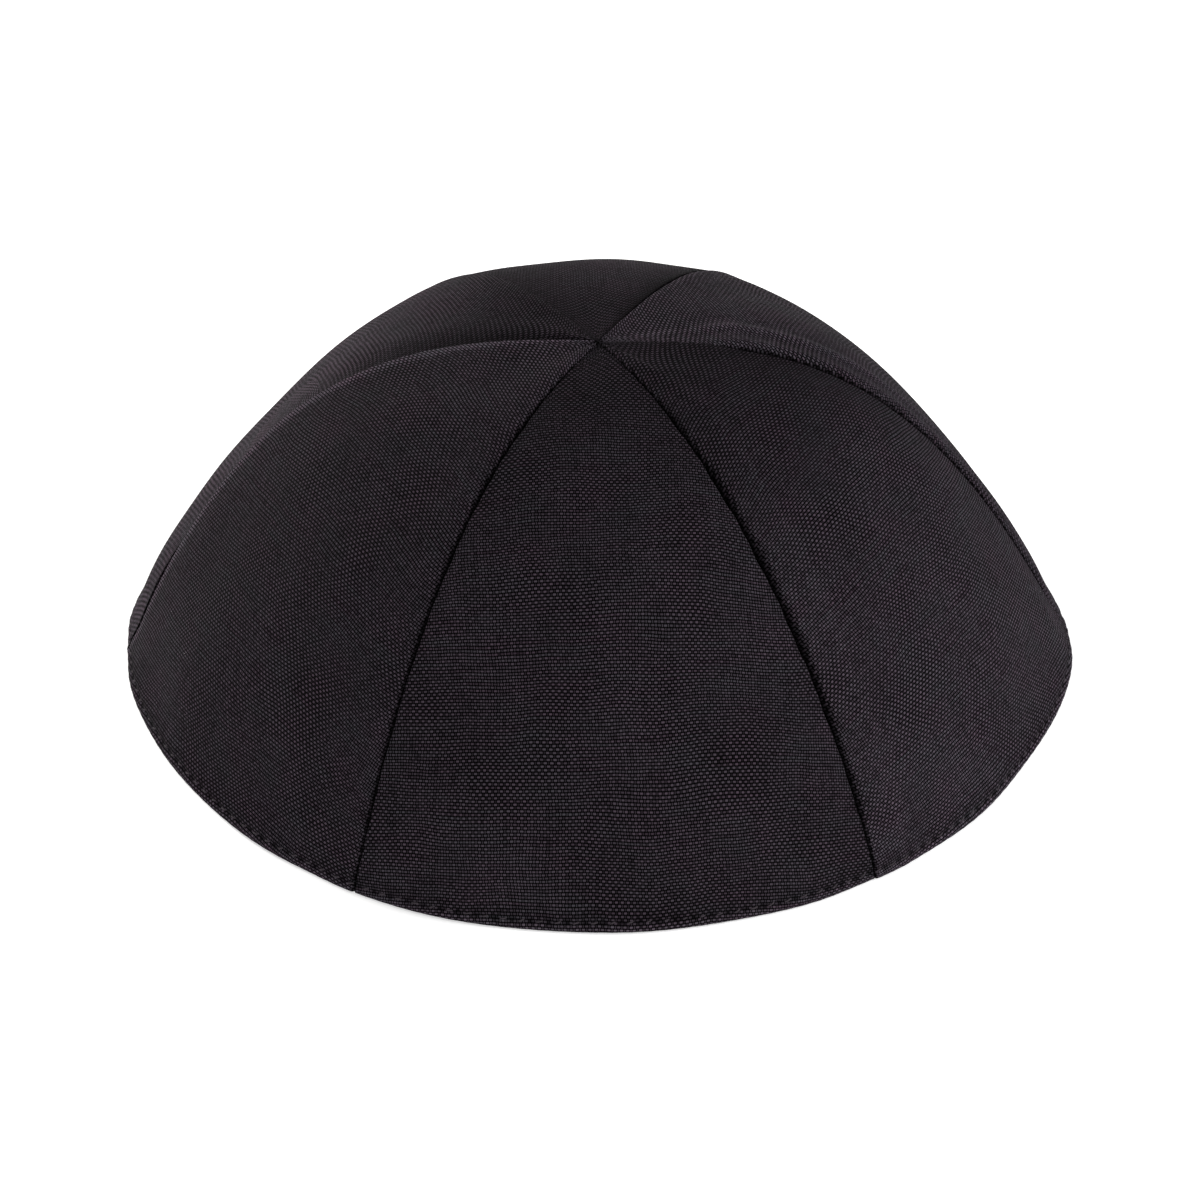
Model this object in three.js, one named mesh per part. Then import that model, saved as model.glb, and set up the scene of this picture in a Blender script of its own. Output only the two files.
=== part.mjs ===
// A six-panel cloth skullcap, in millimetres, with +Z up.
// It stands on its rim at z = 0, and the middle of its front panel faces -Y.
// The panels are walls of turned and stitched cloth that meet at six seams, from the rim to the crown.

import * as THREE from 'three';

// The cap as a whole
const CAP_HEIGHT = 62.4;
const CROWN_SHIFT = { x: -1.5, y: 0.9 };
const CROWN_HOLE_RADIUS = 1.0;

// The cloth
const CLOTH_WALL = 1.2;
const SEAM_GAP = 0.3;
const SEAM_SINK = 0.7;
const SEAM_SINK_WIDTH = 1.1;
const ALLOWANCE_WIDTH = 8;
const ALLOWANCE_RISE = 0.35;
const ALLOWANCE_LAYERS = 0.8;
const HEM_HEIGHT = 8;
const HEM_LAYERS = 0.8;
const STEP_WIDTH = 1.5;
const RIM_ROLL = 0.5;
const CLOTH_COLOUR = 0x2b272c;
const CLOTH_ROUGHNESS = 0.95;

// The seams, anticlockwise from the one left of the front panel. An azimuth is in degrees from the front.
// A seam falls from the crown as (1 - share ^ fall) ^ (1 / shoulder) of the height, where share is the
// radius over the rim radius. Its two seam allowances are pressed to the panel before it or after it.
const SEAMS = [
  { azimuth: -28.1, rimRadius: 86.3, fall: 2.66, shoulder: 1.09, allowances: 'before' },
  { azimuth: 34.4, rimRadius: 83.8, fall: 2.09, shoulder: 1.25, allowances: 'after' },
  { azimuth: 94.2, rimRadius: 85.0, fall: 3.09, shoulder: 0.96, allowances: 'after' },
  { azimuth: 152.7, rimRadius: 84.8, fall: 3.12, shoulder: 0.99, allowances: 'before' },
  { azimuth: 213.5, rimRadius: 84.5, fall: 3.09, shoulder: 0.97, allowances: 'after' },
  { azimuth: 268.1, rimRadius: 85.7, fall: 2.83, shoulder: 1.02, allowances: 'after' },
];

// The panels, each after the seam of the same row. Slack is how much nearer to the axis than its two
// seams the middle of the panel's rim lies: the more slack, the flatter the panel.
const PANELS = [
  { name: 'panel_front', slack: -0.4 },
  { name: 'panel_front_right', slack: 1.7 },
  { name: 'panel_back_right', slack: 2.2 },
  { name: 'panel_back', slack: 4.2 },
  { name: 'panel_back_left', slack: 2.3 },
  { name: 'panel_front_left', slack: 1.3 },
];

// The faceting. Rows go up a panel and columns go across it, closer together at the hem and the seams.
const HEM_ROWS = [0, RIM_ROLL, HEM_HEIGHT / 2, HEM_HEIGHT, HEM_HEIGHT + STEP_WIDTH];
const UPPER_ROWS = 16;
const SEAM_COLUMNS = [0, SEAM_SINK_WIDTH, ALLOWANCE_WIDTH / 2, ALLOWANCE_WIDTH, ALLOWANCE_WIDTH + STEP_WIDTH];
const MIDDLE_COLUMNS = 5;
const NARROW_WIDTH = 24;
const CURVE_STEPS = 240;
const FOOT_TOLERANCE = 0.005;

const { lerp, clamp, degToRad } = THREE.MathUtils;

function ease(share) {
  return share * share * (3 - 2 * share);
}

// 0 at both seams of a panel and 1 half-way between them.
function arch(across) {
  return 1 - (2 * across - 1) ** 2;
}

// 1 inside a strip of doubled cloth, falling to 0 over the step at its edge.
function insideStrip(distance, width) {
  return 1 - ease(clamp((distance - width) / STEP_WIDTH, 0, 1));
}

function seamSink(distance) {
  return SEAM_SINK * Math.exp(-((distance / SEAM_SINK_WIDTH) ** 2));
}

// The vertical section through the cap at a share of the way across a panel.
function sectionAt(panel, across) {
  const blend = ease(across);
  const between = (key) => lerp(panel.start[key], panel.end[key], blend);
  return {
    azimuth: panel.azimuth + across * panel.angle,
    rimRadius: between('rimRadius') - panel.slack * arch(across),
    fall: between('fall'),
    shoulder: between('shoulder'),
  };
}

// The section as points from the rim to the crown, with their distance from the rim along the cloth.
function curveOf(section) {
  const points = [];
  let distance = 0;
  for (let step = 0; step <= CURVE_STEPS; step += 1) {
    const share = lerp(1, CROWN_HOLE_RADIUS / section.rimRadius, step / CURVE_STEPS);
    const radius = share * section.rimRadius;
    const height = CAP_HEIGHT * (1 - share ** section.fall) ** (1 / section.shoulder);
    if (step > 0) {
      const last = points[step - 1];
      distance += Math.hypot(radius - last.radius, height - last.height);
    }
    points.push({ distance, radius, height });
  }
  return { azimuth: section.azimuth, points, length: distance };
}

function curvePoint(curve, distance) {
  const { points } = curve;
  let step = 1;
  while (step < CURVE_STEPS && points[step].distance < distance) {
    step += 1;
  }
  const below = points[step - 1];
  const above = points[step];
  const share = (distance - below.distance) / (above.distance - below.distance);
  return {
    radius: lerp(below.radius, above.radius, share),
    height: lerp(below.height, above.height, share),
  };
}

// The point of the section at a distance from the rim, moved out of the cloth by an offset.
function offsetPoint(curve, distance, offset) {
  const point = curvePoint(curve, distance);
  const below = curvePoint(curve, Math.max(distance - STEP_WIDTH / 2, 0));
  const above = curvePoint(curve, Math.min(distance + STEP_WIDTH / 2, curve.length));
  const rise = above.height - below.height;
  const run = below.radius - above.radius;
  const span = Math.hypot(rise, run);
  return {
    radius: point.radius + (offset * rise) / span,
    height: point.height + (offset * run) / span,
  };
}

// Where the inner face of the wall starts, so that it ends level with the rim.
function innerFoot(curve, depth) {
  let low = 0;
  let high = HEM_HEIGHT;
  while (high - low > FOOT_TOLERANCE) {
    const middle = (low + high) / 2;
    if (offsetPoint(curve, middle, -depth).height < 0) {
      low = middle;
    } else {
      high = middle;
    }
  }
  return high;
}

function rowDistances(length) {
  const top = HEM_ROWS.at(-1);
  const upper = Array.from({ length: UPPER_ROWS }, (_, row) => lerp(top, length, (row + 1) / UPPER_ROWS));
  return [...HEM_ROWS, ...upper];
}

function columnShares(width) {
  const nearSeam = SEAM_COLUMNS.map((distance) => distance / width);
  const edge = nearSeam.at(-1);
  const middle = Array.from({ length: MIDDLE_COLUMNS }, (_, column) =>
    lerp(edge, 1 - edge, (column + 1) / (MIDDLE_COLUMNS + 1)));
  return [...nearSeam, ...middle, ...nearSeam.map((share) => 1 - share).reverse()];
}

// A point of a section in space: half the seam gap clear of the next panels, and leaning with the crown.
function placed(panel, across, azimuth, point) {
  const startClear = (1 - across) * (SEAM_GAP / 2);
  const endClear = -across * (SEAM_GAP / 2);
  const startSeam = panel.azimuth;
  const endSeam = panel.azimuth + panel.angle;
  const lean = point.height / CAP_HEIGHT;
  return [
    point.radius * Math.sin(azimuth) + startClear * Math.cos(startSeam) + endClear * Math.cos(endSeam)
      + CROWN_SHIFT.x * lean,
    -point.radius * Math.cos(azimuth) + startClear * Math.sin(startSeam) + endClear * Math.sin(endSeam)
      + CROWN_SHIFT.y * lean,
    point.height,
  ];
}

// The outer and inner face of a panel, as rows of points from the rim to the crown. Where the panel is
// narrow, near the crown, the strips along its seams narrow with it.
function facesOf(panel) {
  const middleCurve = curveOf(sectionAt(panel, 0.5));
  const rowCount = HEM_ROWS.length + UPPER_ROWS;
  const outer = [];
  const inner = [];
  for (let row = 0; row < rowCount; row += 1) {
    const middleRadius = curvePoint(middleCurve, rowDistances(middleCurve.length)[row]).radius;
    const width = Math.max(middleRadius * panel.angle, NARROW_WIDTH);
    const outerRow = [];
    const innerRow = [];
    for (const across of columnShares(width)) {
      const curve = curveOf(sectionAt(panel, across));
      const distance = rowDistances(curve.length)[row];
      const fromStart = across * width;
      const fromEnd = (1 - across) * width;
      const sink = seamSink(Math.min(fromStart, fromEnd));
      const allowance = Math.max(
        panel.allowanceAtStart ? insideStrip(fromStart, ALLOWANCE_WIDTH) : 0,
        panel.allowanceAtEnd ? insideStrip(fromEnd, ALLOWANCE_WIDTH) : 0,
      );
      const hem = insideStrip(distance, HEM_HEIGHT);

      const outerPoint = offsetPoint(curve, distance, row === 0 ? 0 : ALLOWANCE_RISE * allowance - sink);
      if (row === 0) {
        outerPoint.height = 0;
        outerPoint.radius += ALLOWANCE_RISE * allowance - sink - RIM_ROLL;
      }
      outerRow.push(placed(panel, across, curve.azimuth, outerPoint));

      const depth = CLOTH_WALL + sink + ALLOWANCE_LAYERS * allowance + HEM_LAYERS * hem;
      const foot = innerFoot(curve, depth);
      const innerDistance = lerp(foot, curve.length, distance / curve.length);
      const innerPoint = offsetPoint(curve, innerDistance, -depth);
      if (row === 0) {
        innerPoint.height = 0;
      }
      innerRow.push(placed(panel, across, curve.azimuth, innerPoint));
    }
    outer.push(outerRow);
    inner.push(innerRow);
  }
  return { outer, inner };
}

// One closed wall from its two faces: the faces, the two seam edges, the rim and the crown edge.
function wallGeometry({ outer, inner }) {
  const rows = outer.length;
  const columns = outer[0].length;
  const outerIndex = (row, column) => row * columns + column;
  const innerIndex = (row, column) => rows * columns + outerIndex(row, column);
  const triangles = [];
  const quad = (a, b, c, d) => triangles.push(a, b, c, a, c, d);

  for (let row = 0; row < rows - 1; row += 1) {
    for (let column = 0; column < columns - 1; column += 1) {
      quad(outerIndex(row, column), outerIndex(row, column + 1),
        outerIndex(row + 1, column + 1), outerIndex(row + 1, column));
      quad(innerIndex(row, column), innerIndex(row + 1, column),
        innerIndex(row + 1, column + 1), innerIndex(row, column + 1));
    }
    const last = columns - 1;
    quad(outerIndex(row, 0), outerIndex(row + 1, 0), innerIndex(row + 1, 0), innerIndex(row, 0));
    quad(outerIndex(row + 1, last), outerIndex(row, last), innerIndex(row, last), innerIndex(row + 1, last));
  }
  for (let column = 0; column < columns - 1; column += 1) {
    const top = rows - 1;
    quad(outerIndex(0, column + 1), outerIndex(0, column), innerIndex(0, column), innerIndex(0, column + 1));
    quad(outerIndex(top, column), outerIndex(top, column + 1),
      innerIndex(top, column + 1), innerIndex(top, column));
  }

  const geometry = new THREE.BufferGeometry();
  geometry.setAttribute('position', new THREE.Float32BufferAttribute([...outer.flat(2), ...inner.flat(2)], 3));
  geometry.setIndex(triangles);
  geometry.computeVertexNormals();
  return geometry;
}

function panelMesh(row, index) {
  const start = SEAMS[index];
  const end = SEAMS[(index + 1) % SEAMS.length];
  const angle = (end.azimuth - start.azimuth + 360) % 360;
  const panel = {
    ...row,
    start,
    end,
    azimuth: degToRad(start.azimuth),
    angle: degToRad(angle),
    allowanceAtStart: start.allowances === 'after',
    allowanceAtEnd: end.allowances === 'before',
  };
  const cloth = new THREE.MeshStandardMaterial({
    color: CLOTH_COLOUR,
    roughness: CLOTH_ROUGHNESS,
    metalness: 0,
  });
  const mesh = new THREE.Mesh(wallGeometry(facesOf(panel)), cloth);
  mesh.name = panel.name;
  return mesh;
}

// The cap, moved so that the middle of its outline is over the origin.
const cap = new THREE.Group();
cap.add(...PANELS.map(panelMesh));
const outline = new THREE.Box3().setFromObject(cap);
const middle = outline.getCenter(new THREE.Vector3());
cap.position.set(-middle.x, -middle.y, 0);

export default cap;
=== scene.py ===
import math
from functools import partial

import bpy
import numpy as np
from mathutils import Matrix, Vector


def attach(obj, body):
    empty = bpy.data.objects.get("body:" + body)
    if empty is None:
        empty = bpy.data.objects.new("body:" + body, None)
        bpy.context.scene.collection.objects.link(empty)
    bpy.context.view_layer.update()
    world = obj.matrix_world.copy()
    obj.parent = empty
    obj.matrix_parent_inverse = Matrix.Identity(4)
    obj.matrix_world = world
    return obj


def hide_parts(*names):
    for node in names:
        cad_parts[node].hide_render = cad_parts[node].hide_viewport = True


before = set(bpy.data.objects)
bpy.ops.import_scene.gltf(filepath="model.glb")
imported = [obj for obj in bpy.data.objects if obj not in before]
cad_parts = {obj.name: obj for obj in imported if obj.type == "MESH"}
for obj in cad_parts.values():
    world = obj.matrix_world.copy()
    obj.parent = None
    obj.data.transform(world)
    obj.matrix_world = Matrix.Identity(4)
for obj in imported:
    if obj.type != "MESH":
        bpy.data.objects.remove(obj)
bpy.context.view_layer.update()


# The cloth
# A plain weave of black spun yarn. Weft and warp pass over each other in turn, so that every float is
# painted as a short bright dash, a painted highlight on its top, with painted shade in the gap at each of
# its corners, and no two yarns are quite as thick or as dark.

MM = 0.001
MIDDLE = 0.5

# A yarn's width is a share of its pitch, and its lift and reach say how high and how long its floats are.
WARP_PITCH = 0.52 * MM
WEFT_PITCH = 0.57 * MM
WARP = dict(width=0.72, lift=0.38, reach=-0.05)
WEFT = dict(width=0.80, lift=0.50, reach=0.25)
FLOAT_FLATNESS = 1.8
YARN_WAVE = 0.5
YARN_ROUNDNESS = 1.8
YARN_EDGE_FALL = 0.5

# A noise is given by its scale and its detail, and the gain brings it to the reach that is asked for.
YARN_WANDER = 0.05 * MM
WANDER_NOISE = (330.0, 2.0)
GRAIN_DRIFT = 0.9 * MM
DRIFT_NOISE = (38.0, 2.0)
NOISE_GAIN = 4.0
WEFT_SHIFT = 0.7

# How light the floats are painted: by their height, a painted highlight on their tops and painted shade low
# down; by warp or weft, painted sheen; and by yarn and one by one, the yarns' own tones.
LIT_HEIGHTS = (0.38, 0.92)
LIT_POWER = 1.7
KIND_NOISE = (55.0, 1.0)
KIND_RANGE = (0.35, 0.70)
WARP_LIGHT = (0.35, 1.00)
WEFT_LIGHT = 1.25
WEFT_LOSS = 0.50
YARN_CHANGE = 90.0
YARN_NOISE = (0.9, 2.0)
WARP_NOISE_PLACE = 5.0
WEFT_YARN_SHARE = 0.8
WARP_YARN_SHARE = 0.6
YARN_LEAST = 0.33
FLECK = 0.6

CLOTH_FINISH = dict(roughness=0.85, specular=0.012, sheen=0.014, sheen_roughness=0.3)
# The gaps between the yarns are painted shade, near black.
CLOTH_GAP_SHADE = (0.0002, 0.0002, 0.0002, 1.0)
CLOTH_PURPLE = (0.0930, 0.0655, 0.0885, 1.0)
CLOTH_GREY = (0.0730, 0.0670, 0.0800, 1.0)
DARKEST_FLOAT = 0.05
SHADE_SCALE = 0.5
PATCH_NOISE = (45.0, 3.0)
PATCH_RANGE = (0.25, 0.75)
PATCH_TONES = (0.86, 1.14)
TINT_NOISE = (110.0, 2.0)
TINT_RANGE = (0.35, 0.65)
WEAVE_BUMP = (0.6, 0.12 * MM)

STITCH_LINE = 1.65 * MM
STITCH_COUNT = 176
HOLE_PHASE = 0.5
HOLE_SIZE = 0.7 * MM
# The dimple at each needle hole is darkened with painted shade.
HOLE_SHADE = 0.75

# The places of the colour sockets among a Mix node's sockets, several of which have the same name.
MIX_FACTOR = 0
MIX_COLOURS = (6, 7)
MIX_RESULT = 2


def new_group(name, inputs, outputs):
    """A shader node group, with its named sockets, its input node and its output node."""
    group = bpy.data.node_groups.new(name, "ShaderNodeTree")
    for label, kind, value in inputs:
        socket = group.interface.new_socket(label, in_out="INPUT", socket_type=kind)
        if value is not None:
            socket.default_value = value
    for label, kind in outputs:
        group.interface.new_socket(label, in_out="OUTPUT", socket_type=kind)
    return group, group.nodes.new("NodeGroupInput"), group.nodes.new("NodeGroupOutput")


def feed(tree, socket, value):
    """Gives a socket another node's output, or a plain value."""
    if isinstance(value, bpy.types.NodeSocket):
        tree.links.new(value, socket)
    else:
        socket.default_value = value


def math_node(tree, operation, *values):
    """A math node on sockets or plain numbers, and the socket that it puts out."""
    node = tree.nodes.new("ShaderNodeMath")
    node.operation = operation
    for socket, value in zip(node.inputs, values):
        feed(tree, socket, value)
    return node.outputs[0]


def combine_node(tree, x, y, z=0.0):
    """A vector made of sockets or plain numbers."""
    node = tree.nodes.new("ShaderNodeCombineXYZ")
    for socket, value in zip(node.inputs, (x, y, z)):
        feed(tree, socket, value)
    return node.outputs[0]


def split_node(tree, vector):
    """The first two numbers of a vector."""
    node = tree.nodes.new("ShaderNodeSeparateXYZ")
    tree.links.new(vector, node.inputs[0])
    return node.outputs[0], node.outputs[1]


def noise_node(tree, place, scale, detail):
    """A cloudy pattern, whose values lie round its middle."""
    node = tree.nodes.new("ShaderNodeTexNoise")
    node.inputs["Scale"].default_value = scale
    node.inputs["Detail"].default_value = detail
    tree.links.new(place, node.inputs["Vector"])
    return node.outputs["Fac"]


def ramp_node(tree, value, start, end, low=0.0, high=1.0):
    """A value stretched so that start becomes low and end becomes high, and held between these two."""
    node = tree.nodes.new("ShaderNodeMapRange")
    tree.links.new(value, node.inputs["Value"])
    for label, setting in (("From Min", start), ("From Max", end), ("To Min", low), ("To Max", high)):
        node.inputs[label].default_value = setting
    return node.outputs["Result"]


def plain_weave_group():
    """Cloth coordinates in, and the height, the brightness with its painted highlights and shade, and the
    tint out.
    """
    group, given, result = new_group(
        "plain_weave",
        [
            ("Cloth", "NodeSocketVector", None),
            ("Warp Pitch", "NodeSocketFloat", WARP_PITCH),
            ("Weft Pitch", "NodeSocketFloat", WEFT_PITCH),
            ("Wander", "NodeSocketFloat", YARN_WANDER),
            ("Drift", "NodeSocketFloat", GRAIN_DRIFT),
        ],
        [("Height", "NodeSocketFloat"), ("Brightness", "NodeSocketFloat"), ("Tint", "NodeSocketFloat")],
    )
    calc = partial(math_node, group)
    across, along = split_node(group, given.outputs["Cloth"])

    def strayed(place, shift):
        """A coordinate moved about: a little by each yarn's wander, and slowly by the drift of the grain."""
        moved = combine_node(group, calc("ADD", across, shift), along)
        for noise, reach in ((WANDER_NOISE, given.outputs["Wander"]), (DRIFT_NOISE, given.outputs["Drift"])):
            stray = calc("SUBTRACT", noise_node(group, moved, *noise), MIDDLE)
            place = calc("ADD", place, calc("MULTIPLY", stray, calc("MULTIPLY", reach, NOISE_GAIN)))
        return place

    warp_place = calc("DIVIDE", strayed(across, 0.0), given.outputs["Warp Pitch"])
    weft_place = calc("DIVIDE", strayed(along, WEFT_SHIFT), given.outputs["Weft Pitch"])
    warp_index = calc("FLOOR", warp_place)
    weft_index = calc("FLOOR", weft_place)
    warp_offset = calc("SUBTRACT", calc("FRACT", warp_place), MIDDLE)
    weft_offset = calc("SUBTRACT", calc("FRACT", weft_place), MIDDLE)

    # Over is 1 where the weft lies on top and -1 where the warp does, in turn.
    parity = calc("PINGPONG", calc("ADD", warp_index, weft_index), 1.0)
    over = calc("SUBTRACT", 1.0, calc("MULTIPLY", parity, 2.0))
    under = calc("MULTIPLY", over, -1.0)

    def yarn_height(cross, lengthwise, side, yarn):
        """The top of one yarn: round across its width, and waving over and under the yarns it crosses."""
        wave = calc("COSINE", calc("MULTIPLY", lengthwise, math.pi))
        wave = calc("MULTIPLY_ADD", wave, side, yarn["reach"])
        wave = calc("MINIMUM", calc("MULTIPLY", wave, FLOAT_FLATNESS), 1.0)
        from_middle = calc("ABSOLUTE", calc("MULTIPLY", cross, 2.0 / yarn["width"]))
        edge = calc("POWER", from_middle, YARN_ROUNDNESS)
        roundness = calc("SUBTRACT", yarn["lift"], calc("MULTIPLY", edge, YARN_EDGE_FALL))
        return calc("MULTIPLY_ADD", wave, YARN_WAVE, roundness)

    weft_height = yarn_height(weft_offset, warp_offset, over, WEFT)
    warp_height = yarn_height(warp_offset, weft_offset, under, WARP)
    height = calc("MAXIMUM", weft_height, warp_height)
    warp_on_top = calc("GREATER_THAN", warp_height, weft_height)
    group.links.new(height, result.inputs["Height"])
    # Painted highlight and shade: the higher a point of the yarns, the lighter its colour.
    lit_float = calc("POWER", ramp_node(group, height, *LIT_HEIGHTS), LIT_POWER)

    # Warp floats mostly catch less light than weft floats, more in some places than in others.
    slow = noise_node(group, given.outputs["Cloth"], *KIND_NOISE)
    warp_share = ramp_node(group, slow, *KIND_RANGE, *WARP_LIGHT)
    weft_share = calc("SUBTRACT", WEFT_LIGHT, calc("MULTIPLY", warp_share, WEFT_LOSS))
    kinds = group.nodes.new("ShaderNodeMix")
    group.links.new(warp_on_top, kinds.inputs["Factor"])
    group.links.new(weft_share, kinds.inputs["A"])
    group.links.new(warp_share, kinds.inputs["B"])

    # Yarns differ in brightness and tint, and so do stretches of one yarn, and each float a little.
    weft_stretch = combine_node(group, calc("MULTIPLY", across, YARN_CHANGE), weft_index)
    warp_stretch = combine_node(group, warp_index, calc("MULTIPLY", along, YARN_CHANGE), WARP_NOISE_PLACE)
    weft_yarn = noise_node(group, weft_stretch, *YARN_NOISE)
    warp_yarn = noise_node(group, warp_stretch, *YARN_NOISE)
    group.links.new(weft_yarn, result.inputs["Tint"])
    weft_part = calc("MULTIPLY", weft_yarn, WEFT_YARN_SHARE)
    warp_part = calc("MULTIPLY", warp_yarn, WARP_YARN_SHARE)
    one_float = group.nodes.new("ShaderNodeTexWhiteNoise")
    group.links.new(combine_node(group, warp_index, weft_index), one_float.inputs["Vector"])
    fleck = calc("MULTIPLY", calc("SUBTRACT", one_float.outputs["Value"], MIDDLE), FLECK)
    yarn_tone = calc("ADD", calc("ADD", calc("ADD", weft_part, warp_part), YARN_LEAST), fleck)

    lit = calc("MULTIPLY", calc("MULTIPLY", lit_float, kinds.outputs["Result"]), yarn_tone)
    group.links.new(lit, result.inputs["Brightness"])
    return group


plain_weave = plain_weave_group()


def principled_material(name, roughness, specular, sheen=0.0, sheen_roughness=0.5):
    """A material, its node tree and its shader, with nothing linked to the shader yet."""
    material = bpy.data.materials.new(name)
    material.use_nodes = True
    shader = material.node_tree.nodes["Principled BSDF"]
    shader.inputs["Roughness"].default_value = roughness
    shader.inputs["Specular IOR Level"].default_value = specular
    shader.inputs["Sheen Weight"].default_value = sheen
    shader.inputs["Sheen Roughness"].default_value = sheen_roughness
    return material, material.node_tree, shader


def mix_colours(tree, factor, low, high):
    """A colour between two others."""
    node = tree.nodes.new("ShaderNodeMix")
    node.data_type = "RGBA"
    tree.links.new(factor, node.inputs[MIX_FACTOR])
    for place, value in zip(MIX_COLOURS, (low, high)):
        feed(tree, node.inputs[place], value)
    return node.outputs[MIX_RESULT]


def add_bump(tree, shader, height, strength, distance):
    """Gives a shader's surface a fine relief."""
    bump = tree.nodes.new("ShaderNodeBump")
    bump.inputs["Strength"].default_value = strength
    bump.inputs["Distance"].default_value = distance
    tree.links.new(height, bump.inputs["Height"])
    tree.links.new(bump.outputs["Normal"], shader.inputs["Normal"])


def map_node(tree, label):
    """Where a point lies on one of its piece's flat maps."""
    node = tree.nodes.new("ShaderNodeUVMap")
    node.uv_map = label
    return node.outputs[0]


def mark_node(tree, label):
    """A number that the mesh holds at each of its points."""
    node = tree.nodes.new("ShaderNodeAttribute")
    node.attribute_name = label
    return node.outputs["Fac"]


def needle_holes(tree):
    """Where the needle went in at the hem, for the painted shade in each hole's dimple: 1 in its middle, 0
    away.
    """
    calc = partial(math_node, tree)
    along, from_rim = split_node(tree, map_node(tree, "hem"))
    turn = calc("MULTIPLY", calc("ADD", along, HOLE_PHASE), 2 * math.pi)
    spread_along = calc("SUBTRACT", 1.0, calc("COSINE", turn))
    up = calc("DIVIDE", calc("SUBTRACT", from_rim, STITCH_LINE), HOLE_SIZE)
    spread = calc("ADD", calc("POWER", calc("ABSOLUTE", up), 2.0), spread_along)
    return calc("EXPONENT", calc("MULTIPLY", spread, -1.0))


def black_cloth():
    """The cloth's material, from its weave with its painted highlights and shade, the painted shade of its
    creases and needle holes, its painted sheen, light and shade, and its tinted yarns.
    """
    material, tree, shader = principled_material("black_plain_weave", **CLOTH_FINISH)
    calc = partial(math_node, tree)
    cloth = map_node(tree, "cloth")
    weave = tree.nodes.new("ShaderNodeGroup")
    weave.node_tree = plain_weave
    tree.links.new(cloth, weave.inputs["Cloth"])

    # From the painted shade of the gaps to the painted highlights of the floats, in patches a little lighter
    # or darker.
    floats = ramp_node(tree, weave.outputs["Brightness"], DARKEST_FLOAT, 1.0)
    patches = ramp_node(tree, noise_node(tree, cloth, *PATCH_NOISE), *PATCH_RANGE, *PATCH_TONES)
    # Painted shade darkens the seams' grooves, the line behind each seam and the crown's dimple, and painted
    # shade darkens the dimple at each needle hole.
    outside_crease_shade = calc("SUBTRACT", 1.0, mark_node(tree, "crease"))
    outside_hole_shade = calc("SUBTRACT", 1.0, calc("MULTIPLY", needle_holes(tree), HOLE_SHADE))
    shade = floats
    for factor in (patches, outside_crease_shade, outside_hole_shade, mark_node(tree, "painted_light_and_shade"), SHADE_SCALE):
        shade = calc("MULTIPLY", shade, factor)

    tint_patches = noise_node(tree, cloth, *TINT_NOISE)
    mean_tint = calc("DIVIDE", calc("ADD", weave.outputs["Tint"], tint_patches), 2.0)
    yarn_colour = mix_colours(tree, ramp_node(tree, mean_tint, *TINT_RANGE), CLOTH_PURPLE, CLOTH_GREY)
    tree.links.new(mix_colours(tree, shade, CLOTH_GAP_SHADE, yarn_colour), shader.inputs["Base Color"])
    add_bump(tree, shader, weave.outputs["Height"], *WEAVE_BUMP)
    return material


cloth_material = black_cloth()


# The panels
# Six gores of the cloth, sewn edge to edge from the rim to the crown. At each seam both seam allowances are
# pressed to one side, which makes a raised strip there, and the rim is turned in and topstitched.

CAP_HEIGHT = 62.4 * MM
CROWN_SHIFT = (-1.5 * MM, 0.9 * MM)
CROWN_TIP = 0.04 * MM
UP_THE_PANEL = 108.0 * MM

# Each seam's azimuth is in degrees from the front, and near the rim it turns on by its bend. Its fall and
# shoulder give its curve from crown to rim, and its allowances lie on the panel before it or after it.
BEND_START = 0.6
SEAMS = [
    dict(azimuth=-28.1, bend=0.0, rim_radius=86.3 * MM, fall=2.66, shoulder=1.09, allowances="before"),
    dict(azimuth=34.4, bend=0.0, rim_radius=83.8 * MM, fall=2.09, shoulder=1.25, allowances="after"),
    dict(azimuth=94.2, bend=0.0, rim_radius=85.0 * MM, fall=3.09, shoulder=0.96, allowances="after"),
    dict(azimuth=152.7, bend=0.0, rim_radius=84.8 * MM, fall=3.12, shoulder=0.99, allowances="before"),
    dict(azimuth=213.5, bend=0.0, rim_radius=84.5 * MM, fall=3.09, shoulder=0.97, allowances="after"),
    dict(azimuth=268.1, bend=6.0, rim_radius=85.7 * MM, fall=2.83, shoulder=1.02, allowances="after"),
]

# The painted sheen and light: how light a panel is painted at each of these places, which are shares of the
# reach from crown to rim.
# A swelling is its distance from the second seam, its height up the panel, its reach and its rise, in mm.
PAINTED_SHEEN_PLACES = (0.125, 0.275, 0.425, 0.575, 0.725, 0.875)
PANELS = [
    dict(name="front", slack=-0.4 * MM, swells=(0.3, 2.1, 4.0),
         painted_sheen=(0.73, 0.80, 0.92, 0.96, 0.97, 0.90), swellings=[(26, 0, 18, 0.9)]),
    dict(name="front_right", slack=1.7 * MM, swells=(1.9, 0.4, 2.6),
         painted_sheen=(0.79, 0.76, 0.86, 1.02, 1.15, 1.18), swellings=[(72, 0, 18, 0.8), (12, 0, 14, 0.5)]),
    dict(name="back_right", slack=2.2 * MM, swells=(4.4, 3.3, 0.9),
         painted_sheen=(1.42, 1.37, 1.20, 1.12, 1.04, 1.06), swellings=[]),
    dict(name="back", slack=4.2 * MM, swells=(2.8, 5.2, 1.4),
         painted_sheen=(0.78, 0.99, 1.07, 1.18, 1.28, 1.34), swellings=[]),
    dict(name="back_left", slack=2.3 * MM, swells=(5.5, 1.2, 3.7),
         painted_sheen=(0.84, 0.88, 1.37, 1.77, 1.98, 2.05), swellings=[(8, 16, 14, 1.4), (10, 47, 17, -1.4)]),
    dict(name="front_left", slack=1.3 * MM, swells=(3.6, 4.6, 0.2),
         painted_sheen=(1.38, 1.23, 1.15, 1.02, 0.97, 1.02), swellings=[]),
]
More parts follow.
